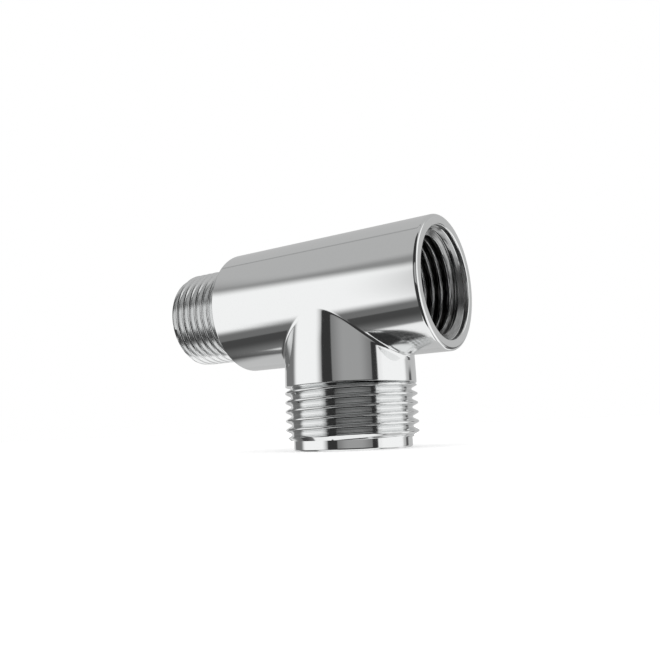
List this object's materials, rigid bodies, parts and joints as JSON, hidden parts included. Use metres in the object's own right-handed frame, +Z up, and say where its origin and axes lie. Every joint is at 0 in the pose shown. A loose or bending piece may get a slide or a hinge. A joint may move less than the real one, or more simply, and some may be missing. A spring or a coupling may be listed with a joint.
{
  "type": "hose tee connector",
  "caption": "Chrome-plated tee connector with an outside threaded end, a threaded socket end and a larger threaded branch with a plain collar.",
  "frame": {"origin": "on the floor plane that the branch's rim stands on, under the middle of the tee's overall length", "axes": "+X along the run from the outside thread to the socket, +Y to the back of the pictured side, +Z up, away from the branch"},
  "size_m": [0.062, 0.0264, 0.0435],
  "materials": {
    "chrome_plate": "polished bright chrome plate over brass, with fine turning lines on the threads"
  },
  "bodies": {
    "root": {"tee_body": "chrome_plate"}
  },
  "joints": []
}
